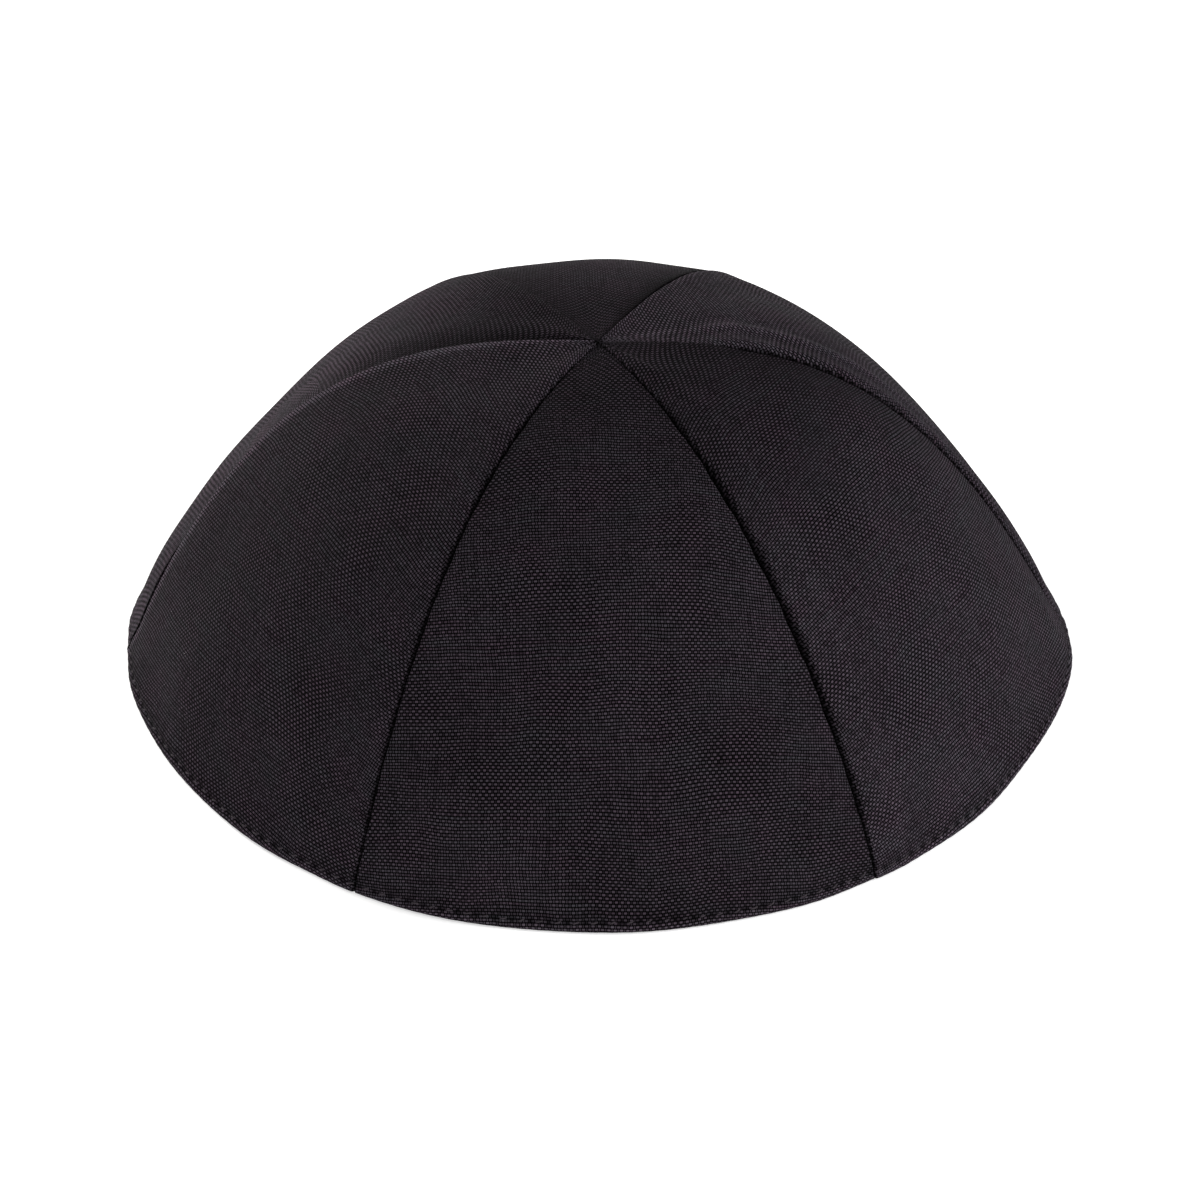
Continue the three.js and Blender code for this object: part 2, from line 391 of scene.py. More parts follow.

# How each seam is sewn, with lengths in mm. The side of the allowances has their step (rise, edge), the fold
# beside the groove (crest, roll), the ridge over their edges, and painted light on the fold, painted shade
# where its amount is below zero (painted_fold_light), with a painted highlight over the ridge (edge_light).
# On the other side the cloth dips and has painted shade (dip, shade), and a painted shadow line lies behind
# the seam, with its widths at rim and crown (behind). The groove has its widths from rim to crown, the
# corner is how far the cloth is rounded off at the rim, and past fade, a share of the way up, the seam lies
# flat.
SEWING = [
    dict(rise=0.25, edge=7.0, crest=0.05, roll=3.0, ridge=0.00, painted_fold_light=(0.00, 3.0, 0.5), edge_light=0.00,
         dip=0.10, shade=(0.10, 2.5), behind=(0.20, 0.35), corner=0.0, fade=1.2,
         groove=(0.40, 0.52, 0.56, 0.62, 0.68, 0.62, 0.46)),
    dict(rise=0.30, edge=3.5, crest=0.05, roll=1.7, ridge=0.06, painted_fold_light=(0.00, 1.7, 0.5), edge_light=0.10,
         dip=0.10, shade=(0.00, 2.5), behind=(0.30, 0.30), corner=0.0, fade=1.2,
         groove=(0.30, 0.70, 1.00, 1.10, 0.98, 0.64, 0.36)),
    dict(rise=0.15, edge=2.5, crest=0.35, roll=2.0, ridge=0.40, painted_fold_light=(0.20, 2.2, 0.6), edge_light=0.45,
         dip=0.50, shade=(0.22, 6.0), behind=(0.20, 0.20), corner=0.3, fade=0.86,
         groove=(0.10, 0.20, 0.36, 0.46, 0.48, 0.40, 0.30)),
    dict(rise=0.06, edge=7.0, crest=0.10, roll=1.0, ridge=0.00, painted_fold_light=(0.35, 1.2, 0.5), edge_light=0.00,
         dip=0.12, shade=(0.52, 3.5), behind=(0.40, 1.00), corner=1.2, fade=1.2,
         groove=(0.42, 0.42, 0.40, 0.34, 0.32, 0.36, 0.28)),
    dict(rise=0.08, edge=8.0, crest=0.06, roll=2.5, ridge=0.00, painted_fold_light=(-0.22, 0.0, 6.0), edge_light=0.00,
         dip=0.15, shade=(0.26, 7.0), behind=(0.30, 0.00), corner=0.3, fade=1.2,
         groove=(0.42, 0.44, 0.44, 0.36, 0.08, 0.00, 0.00)),
    dict(rise=0.18, edge=8.0, crest=0.15, roll=0.7, ridge=0.00, painted_fold_light=(2.20, 1.1, 0.9), edge_light=0.00,
         dip=0.45, shade=(0.50, 6.0), behind=(0.70, 0.35), corner=1.0, fade=1.2,
         groove=(0.06, 0.10, 0.12, 0.10, 0.08, 0.08, 0.08)),
]

CLOTH_WALL = 1.0 * MM
ALLOWANCE_WIDTH = 8.0 * MM
ALLOWANCE_LAYERS = 0.5 * MM
HEM_HEIGHT = 8.0 * MM
HEM_LAYERS = 0.5 * MM
LAYER_EDGE = 0.5 * MM
SEAM_BULK = 1.2 * MM
SEAM_BULK_WIDTH = 1.2 * MM
SEAM_CLEAR = 0.01 * MM
SEAM_CLEAR_REACH = 8 * MM
SEAM_LAP = 0.08 * MM
SEAM_LAP_REACH = 1 * MM
SEAM_PLANE_REACH = 4 * MM
RIM_ROUND = 0.55 * MM
RIM_CLEAR = 0.02 * MM
RIM_SLOPE = 0.4

# The relief of the outer face. A wave of the groove or the stitches is its height, its pace and its start,
# and one of the uneven cloth is its height and its periods up and across the panel.
RIDGE_PLACE = 7.2 * MM
RIDGE_WIDTH = 1.4 * MM
CREST_WIDTH = 1.5 * MM
ROLL_FALL = 1.2
DIP_WIDTH = 5.5 * MM
GROOVE_DEPTH = 1.1
RAISED_GROOVE_WIDTH = 0.50
BEHIND_GROOVE_WIDTH = 0.38
BEHIND_GROOVE_DEPTH = 0.1 * MM
THINNEST_GROOVE = 0.01 * MM
GROOVE_WAVES = ((0.16, 47, 1.3), (0.12, 119, 0.0))
FADE_LENGTH = 0.08
CORNER_WIDTH = 8 * MM
CORNER_HEIGHT = 14 * MM
HEM_PRESS = 0.35
PRESSED_REACH = 14 * MM
HEM_PUFF = 0.3 * MM
HEM_PUFF_HEIGHT = 4.5 * MM
HEM_PUFF_EDGE = 5.0 * MM
STITCH_DENT = 0.22 * MM
STITCH_DENT_WIDTH = 0.5 * MM
STITCH_PUCKER = 0.06 * MM
STITCH_PUCKER_WIDTH = 1.8 * MM
STITCH_WAVES = ((0.10 * MM, 5, 1.0), (0.07 * MM, 17, 0.0))
UNEVENNESS = 0.23 * MM
UNEVEN_WAVES = ((1.0, 7.5 * MM, 14 * MM), (0.8, 12 * MM, -6.5 * MM), (0.6, 19 * MM, 5 * MM))
HELD_AT_SEAMS = 9 * MM

# How dark the painted shade in the creases is and how light the painted light on the folds and hem, as
# shares.
GROOVE_SHADE = 0.92
GROOVE_SHADE_WIDTH = 0.75
BEHIND_SHADE = 0.78
LOW_SHADE = 20 * MM
DIMPLE_SHADE = 0.8
DIMPLE_WIDTH = 0.8 * MM
HEM_EDGE_LIGHT = 0.55
HEM_EDGE_HEIGHT = STITCH_LINE - 0.3 * MM
HEM_EDGE_BLEND = 0.6 * MM
OVER_STITCH_SHADE = 0.15
OVER_STITCH_HEIGHT = STITCH_LINE + 1.1 * MM
OVER_STITCH_WIDTH = 0.9 * MM

# The mesh: its finest rows are at the topstitching, and its finest columns at the seams.
LATTICE = 49
REACH_STEPS = 400
UPPER_ROWS = 112
MIDDLE_COLUMNS = 88
NARROWEST_ROW = 26.0 * MM
RIM_SAMPLES = 200
NORMAL_STEP = 1e-4
SEAM_STEP = 1e-3
CONE_STEP = 0.004
LEAST_SLOPE = 0.15


def ease(share):
    """A smooth step from 0 to 1."""
    share = np.clip(share, 0.0, 1.0)
    return share * share * (3 - 2 * share)


def arch(across):
    """0 at both seams of a panel, and 1 on its centre line."""
    return 1 - (2 * across - 1) ** 2


def bell(distance, width):
    """1 on a line, dying away on both sides of it."""
    return np.exp(-((distance / width) ** 2))


def strip(distance, width, edge):
    """1 along a strip of some width and 0 beyond it, with a soft edge between."""
    return 1 - ease((distance - width + edge / 2) / edge)


def waves(place, rows):
    """The sum of a few waves, each with its height, its pace and its start."""
    return sum(height * np.sin(pace * place + start) for height, pace, start in rows)


def seam_azimuth(seam, share):
    """Where a seam lies around the cap, at a share of the reach from crown to rim."""
    return np.radians(seam["azimuth"] + seam["bend"] * ease((share - BEND_START) / (1 - BEND_START)))


def panel_turn(panel, share):
    """The azimuth of a panel's first seam, and the angle on to its second seam."""
    start = seam_azimuth(panel["start"], share)
    return start, (seam_azimuth(panel["end"], share) - start) % (2 * math.pi)


def middle_surface(panel, across, share):
    """Points of the cap, by the share of the way across a panel and of the reach from crown to rim."""
    start, end = panel["start"], panel["end"]
    blend = ease(across)

    def between(key):
        """A value of both seams, blended across the panel."""
        return start[key] + (end[key] - start[key]) * blend

    radius = share * (between("rim_radius") - panel["slack"] * arch(across))
    height = CAP_HEIGHT * np.clip(1 - share ** between("fall"), 0, 1) ** (1 / between("shoulder"))
    first, angle = panel_turn(panel, share)
    azimuth = first + across * angle
    lean = height / CAP_HEIGHT
    x = radius * np.sin(azimuth) + CROWN_SHIFT[0] * lean
    y = -radius * np.cos(azimuth) + CROWN_SHIFT[1] * lean
    return np.stack(np.broadcast_arrays(x, y, height), axis=-1)


def length_up(points):
    """How far each row of points lies from the first row, along the surface."""
    steps = np.linalg.norm(np.diff(points, axis=0), axis=-1)
    return np.concatenate([np.zeros((1, points.shape[1])), np.cumsum(steps, axis=0)])


def unit(vectors):
    """Vectors made one metre long."""
    return vectors / np.linalg.norm(vectors, axis=-1, keepdims=True)


def outward(panel, across, share):
    """The outward normals of the surface."""
    step = NORMAL_STEP
    along_row = middle_surface(panel, across + step, share) - middle_surface(panel, across - step, share)
    up_panel = middle_surface(panel, across, share - step) - middle_surface(panel, across, share + step)
    return unit(np.cross(along_row, up_panel))


def seam_plane(panel, side, share):
    """The normals of the narrow plane that a seam lies in, at each share of the reach."""
    inner_share = np.maximum(share - SEAM_STEP, SEAM_STEP)
    running = middle_surface(panel, side, share + SEAM_STEP) - middle_surface(panel, side, inner_share)
    first, angle = panel_turn(panel, share)
    azimuth = first + side * angle
    standing = np.stack(np.broadcast_arrays(np.sin(azimuth), -np.cos(azimuth), 1.0), axis=-1)
    standing = standing + np.array([*CROWN_SHIFT, 0.0]) / CAP_HEIGHT
    return unit(np.cross(standing, running))


def row_distances(length):
    """How far the mesh rows lie from the rim: close together at the stitches, then even to the crown."""
    hem = np.array([0, 0.1, 0.22, 0.38, 0.58, 0.8, 1.05, 1.25, 1.45, 1.65, 1.85, 2.05, 2.3, 2.65, 3.1, 3.7,
                    4.4, 5.2, 6.1, 7.0, 7.6, 7.9, 8.2, 9.0, 10.0]) * MM
    upper = np.linspace(hem[-1], length, UPPER_ROWS)[1:]
    return np.concatenate([hem, upper])


def column_distances(width):
    """How far the mesh columns lie from the first seam: close together at both seams."""
    near_seam = np.array([0, 0.08, 0.16, 0.25, 0.35, 0.46, 0.6, 0.78, 1.0, 1.25, 1.6, 2.0, 2.5, 3.1, 3.8,
                          4.6, 5.5, 6.2, 7.0, 7.6, 7.9, 8.2, 8.8, 9.6, 10.6]) * MM
    middle = np.linspace(near_seam[-1], width - near_seam[-1], MIDDLE_COLUMNS)[1:-1]
    return np.concatenate([near_seam, middle, width - near_seam[::-1]])


def lay_out(panel):
    """Where each mesh point of a panel lies: across, share of the reach, distances from rim and seams."""
    lattice = np.linspace(0, 1, LATTICE)
    tip = CROWN_TIP / panel["start"]["rim_radius"]
    shares = np.linspace(1, tip, REACH_STEPS)
    travelled = length_up(middle_surface(panel, lattice[None, :], shares[:, None]))
    rows = np.stack([row_distances(length) for length in travelled[-1]], axis=1)
    row_shares = np.stack([np.interp(rows[:, i], travelled[:, i], shares) for i in range(LATTICE)], axis=1)

    middle_shares = row_shares[:, LATTICE // 2]
    radii = middle_shares * (panel["start"]["rim_radius"] + panel["end"]["rim_radius"]) / 2
    widths = np.maximum(radii * panel_turn(panel, middle_shares)[1], NARROWEST_ROW)
    across = np.stack([column_distances(width) / width for width in widths])
    share = np.stack([np.interp(a, lattice, s) for a, s in zip(across, row_shares)])
    from_rim = np.stack([np.interp(a, lattice, r) for a, r in zip(across, rows)])
    from_start = across * widths[:, None]
    from_end = (1 - across) * widths[:, None]
    return across, share, from_rim, from_start, from_end


def seam_sides(panel, from_start, from_end):
    """Each seam of a panel: the distance from it, its sewing, and if the allowances lie on this side."""
    return (
        (from_start, panel["sewing_start"], panel["raised_start"]),
        (from_end, panel["sewing_end"], panel["raised_end"]),
    )


def seam_strength(sewing, from_rim):
    """How much of a seam's relief there is: all of it, but for a seam that lies flat near the crown."""
    return 1 - ease((from_rim / UP_THE_PANEL - sewing["fade"]) / FADE_LENGTH + MIDDLE)


def groove_width(sewing, from_rim):
    """How wide a seam's groove is, from its widths at even stations up the panel, a little uneven."""
    up = np.clip(from_rim / UP_THE_PANEL, 0, 1)
    width = np.interp(up, np.linspace(0, 1, len(sewing["groove"])), sewing["groove"]) * MM
    return width * seam_strength(sewing, from_rim) * (1 + waves(up, GROOVE_WAVES)) + THINNEST_GROOVE


def seam_relief(panel, from_rim, from_start, from_end):
    """How far the outer face stands off at the seams: their steps, folds, grooves and round corners."""
    height = np.zeros_like(from_rim)
    pressed = HEM_PRESS + (1 - HEM_PRESS) * ease(from_rim / PRESSED_REACH)
    for distance, sewing, raised in seam_sides(panel, from_start, from_end):
        width = groove_width(sewing, from_rim)
        strength = seam_strength(sewing, from_rim) * pressed * MM
        rise = sewing["rise"] * strength
        crest = sewing["crest"] * strength
        if raised:
            rolled = np.clip(1 - distance / (sewing["roll"] * MM), 0, 1)
            height += rise * strip(distance, ALLOWANCE_WIDTH, sewing["edge"] * MM)
            height += sewing["ridge"] * strength * bell(distance - RIDGE_PLACE, RIDGE_WIDTH)
            height += crest * bell(distance - sewing["roll"] * MM, CREST_WIDTH)
            height -= (ROLL_FALL * rise + crest) * rolled ** 2
            height -= GROOVE_DEPTH * width * bell(distance, RAISED_GROOVE_WIDTH * width)
        else:
            height -= sewing["dip"] * strength * bell(distance, DIP_WIDTH)
            groove_depth = GROOVE_DEPTH * width + BEHIND_GROOVE_DEPTH
            height -= groove_depth * bell(distance, BEHIND_GROOVE_WIDTH * width)
        height -= sewing["corner"] * MM * bell(distance, CORNER_WIDTH) * bell(from_rim, CORNER_HEIGHT)
    return height


def stitch_drift(azimuth):
    """How far the row of stitches strays up from its mean height over the rim."""
    return waves(azimuth, STITCH_WAVES)


def hem_relief(from_rim, azimuth):
    """How far the outer face stands off at the hem: its puffed fold, its stitches and its round edge."""
    from_stitches = from_rim - STITCH_LINE - stitch_drift(azimuth)
    puckers = np.cos(azimuth * STITCH_COUNT) * bell(from_stitches, STITCH_PUCKER_WIDTH)
    height = HEM_PUFF * strip(from_rim, HEM_PUFF_HEIGHT, HEM_PUFF_EDGE)
    height -= STITCH_DENT * bell(from_stitches, STITCH_DENT_WIDTH)
    height += STITCH_PUCKER * puckers
    rolling = np.clip(1 - from_rim / RIM_ROUND, 0, 1)
    return height - RIM_ROUND * (1 - np.sqrt(1 - rolling ** 2))


def cloth_relief(panel, from_rim, from_start, from_end):
    """How far the open cloth swells out or sinks in, with broad soft hollows between its seams."""
    height = np.zeros_like(from_rim)
    for from_second_seam, up, reach, swell in panel["swellings"]:
        spread = bell(from_end - from_second_seam * MM, reach * MM) * bell(from_rim - up * MM, reach * MM)
        height += swell * MM * spread
    open_cloth = 1 - np.maximum(bell(from_start, HELD_AT_SEAMS), bell(from_end, HELD_AT_SEAMS))
    for (size, up_period, across_period), start in zip(UNEVEN_WAVES, panel["swells"]):
        wave = np.sin(from_rim / up_period + from_start / across_period + start)
        height += UNEVENNESS * size * open_cloth * wave
    return height


def relief(panel, from_rim, from_start, from_end, azimuth):
    """How far the outer face stands off the middle surface."""
    height = seam_relief(panel, from_rim, from_start, from_end)
    height += cloth_relief(panel, from_rim, from_start, from_end)
    return height + hem_relief(from_rim, azimuth)


def depth(panel, from_rim, from_start, from_end):
    """How far the inner face lies under the middle surface, with the layers of the seams and the hem."""
    total = np.full_like(from_rim, CLOTH_WALL)
    for distance, _, raised in seam_sides(panel, from_start, from_end):
        total += SEAM_BULK * bell(distance, SEAM_BULK_WIDTH)
        if raised:
            total += ALLOWANCE_LAYERS * strip(distance, ALLOWANCE_WIDTH, LAYER_EDGE)
    return total + HEM_LAYERS * strip(from_rim, HEM_HEIGHT, LAYER_EDGE)


def crease_shade(panel, share, from_rim, from_start, from_end):
    """Painted shade in the grooves, behind the seams and at the crown: 0 on the open cloth, near 1 in the
    groove.
    """
    shade = DIMPLE_SHADE * bell(share * panel["start"]["rim_radius"], DIMPLE_WIDTH)
    for distance, sewing, raised in seam_sides(panel, from_start, from_end):
        if raised:
            width = GROOVE_SHADE_WIDTH * groove_width(sewing, from_rim)
            darkness = GROOVE_SHADE
        else:
            width = np.interp(from_rim / UP_THE_PANEL, (0, 1), sewing["behind"]) * MM + THINNEST_GROOVE
            darkness = BEHIND_SHADE
        shade = np.maximum(shade, darkness * seam_strength(sewing, from_rim) * bell(distance, width))
    return shade


def cloth_painted_light(panel, share, from_rim, from_start, from_end):
    """The painted light and shade of the cloth: painted sheen by panel and up each panel, painted light on
    the seams' folds and ridges, painted shade on the low side of the seams, and painted light and shade at
    the hem.
    """
    painted_light_and_shade = np.interp(share, PAINTED_SHEEN_PLACES, panel["painted_sheen"])
    for distance, sewing, raised in seam_sides(panel, from_start, from_end):
        if raised:
            # Painted light on the fold beside the groove, or painted shade where its amount is below zero,
            # and a painted highlight over the allowances' edges.
            amount, place, width = sewing["painted_fold_light"]
            painted_light_and_shade = painted_light_and_shade * (1 + amount * bell(distance - place * MM, width * MM))
            painted_light_and_shade = painted_light_and_shade * (1 + sewing["edge_light"] * bell(distance - RIDGE_PLACE, RIDGE_WIDTH))
        else:
            # Painted shade on the low side of the seam, weaker towards the rim.
            amount, width = sewing["shade"]
            amount = amount * ease((from_rim + LOW_SHADE) / UP_THE_PANEL)
            painted_light_and_shade = painted_light_and_shade * (1 - amount * bell(distance, width * MM))
    # Painted light on the hem's turned edge, and painted shade just over the stitches.
    painted_light_and_shade = painted_light_and_shade * (1 + HEM_EDGE_LIGHT * strip(from_rim, HEM_EDGE_HEIGHT, HEM_EDGE_BLEND))
    return painted_light_and_shade * (1 - OVER_STITCH_SHADE * bell(from_rim - OVER_STITCH_HEIGHT, OVER_STITCH_WIDTH))


def flat_cloth(panel, across, share, from_rim):
    """Where each point lay on the flat cloth, with the grain along the panel's centre line."""
    azimuth = (across - MIDDLE) * panel_turn(panel, 0.0)[1]
    here = middle_surface(panel, across, share)
    above = middle_surface(panel, across, np.maximum(share - CONE_STEP, 0))
    run = CONE_STEP * panel["start"]["rim_radius"]
    slope = np.maximum(run / np.hypot(run, above[..., 2] - here[..., 2]), LEAST_SLOPE)
    cone = share * panel["start"]["rim_radius"] / slope
    turn = azimuth * slope
    return cone * np.sin(turn), from_rim + cone * (1 - np.cos(turn))


def shell(name, outer, inner, maps, marks):
    """One closed wall from its outer and inner faces, with UV maps for both and its marks at each point."""
    rows, columns = outer.shape[:2]
    index = np.arange(rows * columns).reshape(rows, columns)
    below = index + rows * columns

    def quads(a, b, c, d):
        """Faces with these four corners, one after another."""
        return np.stack([a, b, c, d], axis=-1).reshape(-1, 4)

    faces = np.concatenate([
        quads(index[:-1, :-1], index[:-1, 1:], index[1:, 1:], index[1:, :-1]),
        quads(below[:-1, :-1], below[1:, :-1], below[1:, 1:], below[:-1, 1:]),
        quads(index[:-1, 0], index[1:, 0], below[1:, 0], below[:-1, 0]),
        quads(index[1:, -1], index[:-1, -1], below[:-1, -1], below[1:, -1]),
        quads(index[0, 1:], index[0, :-1], below[0, :-1], below[0, 1:]),
        quads(index[-1, :-1], index[-1, 1:], below[-1, 1:], below[-1, :-1]),
    ])
    mesh = bpy.data.meshes.new(name)
    points = np.concatenate([outer.reshape(-1, 3), inner.reshape(-1, 3)])
    mesh.from_pydata(points.tolist(), [], faces.tolist())
    corners = np.empty(len(mesh.loops), np.int32)
    mesh.loops.foreach_get("vertex_index", corners)
    for label, both_faces in maps.items():
        flat = np.concatenate([np.stack([u.ravel(), v.ravel()], axis=-1) for u, v in both_faces])
        uv = mesh.uv_layers.new(name=label)
        uv.data.foreach_set("uv", flat[corners].astype(np.float32).ravel())
    for label, mark in marks.items():
        attribute = mesh.attributes.new(label, "FLOAT", "POINT")
        attribute.data.foreach_set("value", np.concatenate([mark.ravel(), mark.ravel()]).astype(np.float32))
    mesh.polygons.foreach_set("use_smooth", np.ones(len(mesh.polygons), bool))
    mesh.update()
    piece = bpy.data.objects.new(name, mesh)
    bpy.context.scene.collection.objects.link(piece)
    return piece


def rim_middle():
    """The middle of the rim's outline, which the cap is centred on."""
    across = np.linspace(0, 1, RIM_SAMPLES)
    rim = np.concatenate([middle_surface(panel, across, np.ones_like(across)) for panel in PANELS])
    return (rim.min(axis=0) + rim.max(axis=0)) / 2


for number, panel in enumerate(PANELS):
    panel["start"] = SEAMS[number]
    panel["end"] = SEAMS[(number + 1) % len(SEAMS)]
    panel["sewing_start"] = SEWING[number]
    panel["sewing_end"] = SEWING[(number + 1) % len(SEAMS)]
    panel["raised_start"] = panel["start"]["allowances"] == "after"
    panel["raised_end"] = panel["end"]["allowances"] == "before"
centre = rim_middle() * np.array([1, 1, 0])


def make_panel(panel):
    """One panel, as a closed wall of cloth that meets its neighbours in the planes of its seams."""
    across, share, from_rim, from_start, from_end = lay_out(panel)
    points = middle_surface(panel, across, share)
    normals = outward(panel, across, share)
    lap = np.zeros_like(points)
    for distance, plane, inward in (
        (from_start, seam_plane(panel, 0, share), 1),
        (from_end, seam_plane(panel, 1, share), -1),
    ):
        near = bell(distance, SEAM_PLANE_REACH)[..., None]
        normals = normals - near * np.sum(normals * plane, axis=-1, keepdims=True) * plane
        points = points + inward * SEAM_CLEAR * bell(distance, SEAM_CLEAR_REACH)[..., None] * plane
        lap = lap - inward * SEAM_LAP * bell(distance, SEAM_LAP_REACH)[..., None] * plane
    normals = unit(normals)

    first, angle = panel_turn(panel, share)
    azimuth = first + across * angle
    outer = points + normals * relief(panel, from_rim, from_start, from_end, azimuth)[..., None]
    inner = points + lap - normals * depth(panel, from_rim, from_start, from_end)[..., None]
    outer[..., 2] = np.maximum(outer[..., 2], 0)
    outer[0, :, 2] = 0
    # The inner face would reach below the rim, so its lowest rows are drawn up level with it.
    inner[..., 2] = np.maximum(inner[..., 2], RIM_CLEAR + from_rim * RIM_SLOPE)
    inner[0, :, 2] = 0

    # The cloth runs on round the rim, so on the inner face it is the next stretch of the same cloth.
    u, v = flat_cloth(panel, across, share, from_rim)
    row_of_holes = (azimuth * STITCH_COUNT / (2 * math.pi), from_rim - stitch_drift(azimuth))
    maps = dict(cloth=((u, v), (u, v - 2 * from_rim - CLOTH_WALL)), hem=(row_of_holes, row_of_holes))
    # The marks: painted shade in the creases, and painted sheen, light and shade over the whole cloth.
    marks = dict(
        crease=crease_shade(panel, share, from_rim, from_start, from_end),
        painted_light_and_shade=cloth_painted_light(panel, share, from_rim, from_start, from_end),
    )
    piece = shell(panel["name"] + "_cloth_panel", outer - centre, inner - centre, maps, marks)
    piece.data.materials.append(cloth_material)
    return piece


for panel in PANELS:
    piece = make_panel(panel)
    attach(piece, "root")
    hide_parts("panel_" + panel["name"])


# The topstitching
# One row of lockstitches in black sewing thread, which holds the turned-in hem. Each stitch is a short
# raised thread that goes down through the cloth at both ends, and leans a little across the row.

STITCH_SIZES = {
    "Length": 1.1 * MM,
    "Thread Radius": 0.15 * MM,
    "Sink": 0.16 * MM,
    "Rise": 0.24 * MM,
    "Lean": math.radians(17),
    "Scatter": math.radians(10),
}
STITCH_SEED = 7
THREAD_FACETS = 7
THREAD_FINISH = dict(roughness=0.7, specular=0.10)
THREAD_DARK = (0.010, 0.008, 0.010, 1.0)
THREAD_LIGHT = (0.040, 0.032, 0.038, 1.0)
STRAND_NOISE = (2600.0, 3.0)
THREAD_BUMP = (0.4, 0.05 * MM)
HEM_SHARE = 0.93
HEM_STEPS = 60

# The places of the number sockets of a Random Value node, several of which have the same name.
RANDOM_LEAST = 2
RANDOM_MOST = 3
RANDOM_RESULT = 1


def sewing_thread():
    """The thread's material, with its fine twisted strands."""
    material, tree, shader = principled_material("black_sewing_thread", **THREAD_FINISH)
    place = tree.nodes.new("ShaderNodeTexCoord").outputs["Object"]
    strands = noise_node(tree, place, *STRAND_NOISE)
    tree.links.new(mix_colours(tree, strands, THREAD_DARK, THREAD_LIGHT), shader.inputs["Base Color"])
    add_bump(tree, shader, strands, *THREAD_BUMP)
    return material


def on_the_hem(panel, azimuth):
    """Points on the outer face along the row of stitches, and the face's normals there."""
    first, angle = panel_turn(panel, 1.0)
    across = (azimuth - first) / angle
    shares = np.linspace(1, HEM_SHARE, HEM_STEPS)
    travelled = length_up(middle_surface(panel, across[None, :], shares[:, None]))
    from_rim = STITCH_LINE + stitch_drift(azimuth)
    share = np.array([np.interp(from_rim[i], travelled[:, i], shares) for i in range(len(across))])
    width = angle * panel["start"]["rim_radius"]
    height = relief(panel, from_rim, across * width, (1 - across) * width, azimuth)
    normals = outward(panel, across, share)
    return middle_surface(panel, across, share) + normals * height[:, None] - centre, normals


def stitch_guide():
    """A loose point for each stitch, with the direction of the row and the outward one of the cloth."""
    turns = np.arange(-STITCH_COUNT, 2 * STITCH_COUNT) * 2 * math.pi / STITCH_COUNT
    places, outwards = [], []
    for panel in PANELS:
        first, angle = panel_turn(panel, 1.0)
        points, normals = on_the_hem(panel, turns[(turns >= first) & (turns < first + angle)])
        places.append(points)
        outwards.append(normals)
    places, outwards = np.concatenate(places), np.concatenate(outwards)
    along = np.roll(places, -1, axis=0) - np.roll(places, 1, axis=0)
    mesh = bpy.data.meshes.new("rim_topstitches")
    mesh.from_pydata(places.tolist(), [], [])
    for name, values in (("along", along), ("outward", outwards)):
        attribute = mesh.attributes.new(name, "FLOAT_VECTOR", "POINT")
        attribute.data.foreach_set("vector", values.astype(np.float32).ravel())
    guide = bpy.data.objects.new("rim_topstitches", mesh)
    bpy.context.scene.collection.objects.link(guide)
    return guide


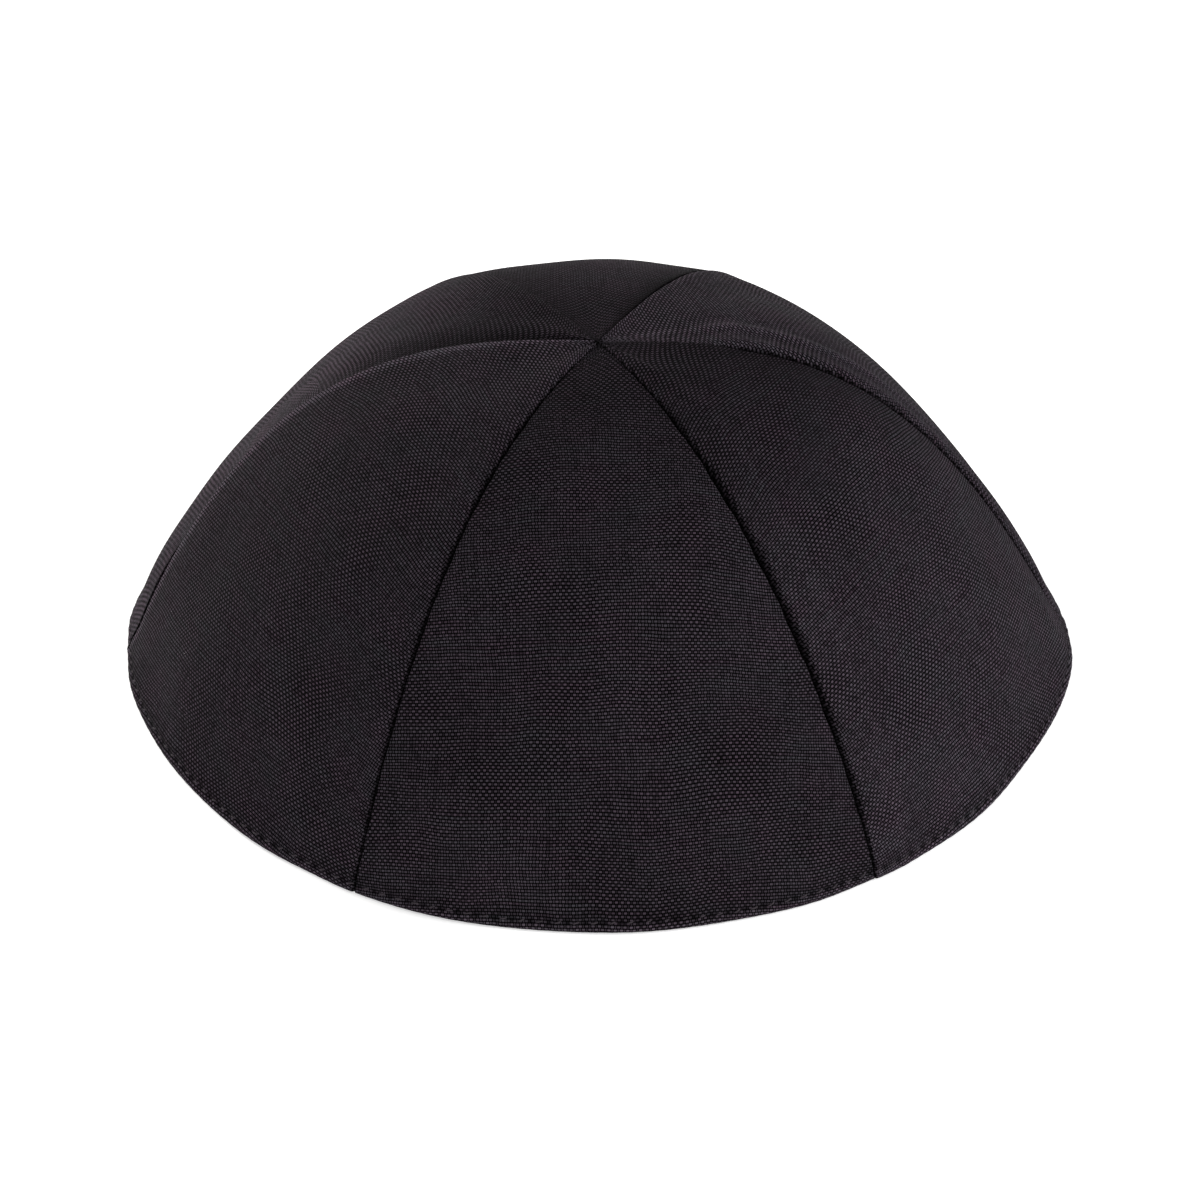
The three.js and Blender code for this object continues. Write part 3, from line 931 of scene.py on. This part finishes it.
def stitch_tree(material):
    """Geometry Nodes: one short bowed thread on every point of the guide, leaning a little at random."""
    tree = bpy.data.node_groups.new("row_of_stitches", "GeometryNodeTree")
    tree.interface.new_socket("Geometry", in_out="INPUT", socket_type="NodeSocketGeometry")
    kinds = dict.fromkeys(STITCH_SIZES, "NodeSocketFloat")
    kinds["Seed"] = "NodeSocketInt"
    sockets = {}
    for label, kind in kinds.items():
        sockets[label] = tree.interface.new_socket(label, in_out="INPUT", socket_type=kind).identifier
    tree.interface.new_socket("Geometry", in_out="OUTPUT", socket_type="NodeSocketGeometry")
    given = tree.nodes.new("NodeGroupInput").outputs
    result = tree.nodes.new("NodeGroupOutput")

    def add(kind, inputs, puts_out=0, **settings):
        """A node with its settings and inputs, and one socket that it puts out."""
        node = tree.nodes.new(kind)
        for name, value in settings.items():
            setattr(node, name, value)
        for place, value in inputs.items():
            feed(tree, node.inputs[place], value)
        return node.outputs[puts_out]

    # One stitch: a bow of thread that starts and ends under the face of the cloth.
    half = math_node(tree, "DIVIDE", given["Length"], 2.0)
    back = math_node(tree, "MULTIPLY", half, -1.0)
    down = math_node(tree, "MULTIPLY", given["Sink"], -1.0)
    bow = add("GeometryNodeCurveQuadraticBezier", {
        "Start": combine_node(tree, back, 0.0, down),
        "Middle": combine_node(tree, 0.0, 0.0, given["Rise"]),
        "End": combine_node(tree, half, 0.0, down),
        "Resolution": THREAD_FACETS,
    })
    ring = add("GeometryNodeCurvePrimitiveCircle", {
        "Radius": given["Thread Radius"],
        "Resolution": THREAD_FACETS,
    })
    thread = add("GeometryNodeCurveToMesh", {"Curve": bow, "Profile Curve": ring, "Fill Caps": True})

    # Its place on the cloth: along the row, facing out, and leaning across it, some more than others.
    along = add("GeometryNodeInputNamedAttribute", {"Name": "along"}, data_type="FLOAT_VECTOR")
    outwards = add("GeometryNodeInputNamedAttribute", {"Name": "outward"}, data_type="FLOAT_VECTOR")
    facing = add("FunctionNodeAxesToRotation", {0: along, 1: outwards}, primary_axis="X", secondary_axis="Z")
    lean = add("FunctionNodeRandomValue", {
        RANDOM_LEAST: math_node(tree, "SUBTRACT", given["Lean"], given["Scatter"]),
        RANDOM_MOST: math_node(tree, "ADD", given["Lean"], given["Scatter"]),
        "Seed": given["Seed"],
    }, RANDOM_RESULT, data_type="FLOAT")
    leaning = add("FunctionNodeEulerToRotation", {0: combine_node(tree, 0.0, 0.0, lean)})
    placed = add("FunctionNodeRotateRotation", {0: facing, 1: leaning}, rotation_space="LOCAL")

    stitches = add("GeometryNodeInstanceOnPoints", {
        "Points": given["Geometry"],
        "Instance": thread,
        "Rotation": placed,
    })
    real = add("GeometryNodeRealizeInstances", {"Geometry": stitches})
    dressed = add("GeometryNodeSetMaterial", {"Geometry": real, "Material": material})
    tree.links.new(dressed, result.inputs[0])
    return tree, sockets


def sew_the_hem():
    """The whole row of stitches, as one plain mesh."""
    guide = stitch_guide()
    tree, sockets = stitch_tree(sewing_thread())
    modifier = guide.modifiers.new("stitches", "NODES")
    modifier.node_group = tree
    for label, size in STITCH_SIZES.items():
        modifier[sockets[label]] = size
    modifier[sockets["Seed"]] = STITCH_SEED
    evaluated = guide.evaluated_get(bpy.context.evaluated_depsgraph_get())
    mesh = bpy.data.meshes.new_from_object(evaluated)
    guide.modifiers.remove(modifier)
    guide.data = mesh
    mesh.polygons.foreach_set("use_smooth", np.ones(len(mesh.polygons), bool))
    return guide


stitches = sew_the_hem()
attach(stitches, "root")


# The studio
# A plain pale floor under three soft lamps, at the right, at the back left and in front, with even light
# from all round, and the camera at the height of the photograph.

CAMERA_PLACE = Vector((0.4, -780.1, 541.3)) * MM
CAMERA_AIM = Vector((0.14, -6.9, 15.3)) * MM
CAMERA_ROLL = math.radians(1.19)
LENS = 158.4
SENSOR_WIDTH = 36
NEAREST_VIEW = 0.05
WHITE = (1.0, 1.0, 1.0, 1.0)
FLOOR_SIZE = 14.0
FLOOR_HEIGHT = -0.05 * MM
FLOOR_FINISH = dict(roughness=0.9, specular=0.2)
FLOOR_COLOUR = (0.9, 0.9, 0.9, 1.0)
FLOOR_GLOW = 0.3
LAMP_AIM = Vector((0, 0, 0.03))
PLAIN_LIGHT = (1.0, 1.0, 1.0)
WARM_LIGHT = (1.0, 0.97, 0.92)
LAMPS = [
    dict(name="right_lamp", place=(1.0, 0.0, 0.35), size=(0.5, 0.7), power=11.5, colour=PLAIN_LIGHT),
    dict(name="back_left_lamp", place=(-0.8, 0.8, 0.35), size=(0.5, 0.6), power=17.0, colour=WARM_LIGHT),
    dict(name="front_lamp", place=(0.0, -1.3, 0.25), size=(1.6, 0.3), power=14.2, colour=PLAIN_LIGHT),
]
LIGHT_ALL_ROUND = 0.65


def pale_floor():
    """The floor, which glows a little so that it comes out as pale as the photograph's ground."""
    bpy.ops.mesh.primitive_plane_add(size=FLOOR_SIZE, location=(0, 0, FLOOR_HEIGHT))
    floor = bpy.context.object
    floor.name = "floor"
    material, _, shader = principled_material("pale_floor", **FLOOR_FINISH)
    shader.inputs["Base Color"].default_value = FLOOR_COLOUR
    shader.inputs["Emission Color"].default_value = WHITE
    shader.inputs["Emission Strength"].default_value = FLOOR_GLOW
    floor.data.materials.append(material)


def soft_lamp(name, place, size, power, colour):
    """A broad lamp that points at the cap."""
    data = bpy.data.lights.new(name, "AREA")
    data.shape = "RECTANGLE"
    data.size, data.size_y = size
    data.energy = power
    data.color = colour
    lamp = bpy.data.objects.new(name, data)
    lamp.location = place
    lamp.rotation_euler = (LAMP_AIM - Vector(place)).to_track_quat("-Z", "Y").to_euler()
    bpy.context.scene.collection.objects.link(lamp)


def light_all_round():
    """Even white light from the whole surroundings."""
    world = bpy.data.worlds.new("studio")
    world.use_nodes = True
    surroundings = world.node_tree.nodes["Background"]
    surroundings.inputs["Color"].default_value = WHITE
    surroundings.inputs["Strength"].default_value = LIGHT_ALL_ROUND
    bpy.context.scene.world = world


def studio_camera():
    """The camera, with a long lens, turned a trace about its line of sight."""
    data = bpy.data.cameras.new("camera")
    data.lens = LENS
    data.sensor_width = SENSOR_WIDTH
    data.clip_start = NEAREST_VIEW
    camera = bpy.data.objects.new("camera", data)
    look = (CAMERA_AIM - CAMERA_PLACE).to_track_quat("-Z", "Y").to_matrix()
    roll = Matrix.Rotation(CAMERA_ROLL, 3, "Z")
    camera.matrix_world = Matrix.Translation(CAMERA_PLACE) @ (look @ roll).to_4x4()
    bpy.context.scene.collection.objects.link(camera)
    bpy.context.scene.camera = camera


pale_floor()
for lamp in LAMPS:
    soft_lamp(**lamp)
light_all_round()
studio_camera()
bpy.context.scene.view_settings.view_transform = "Standard"
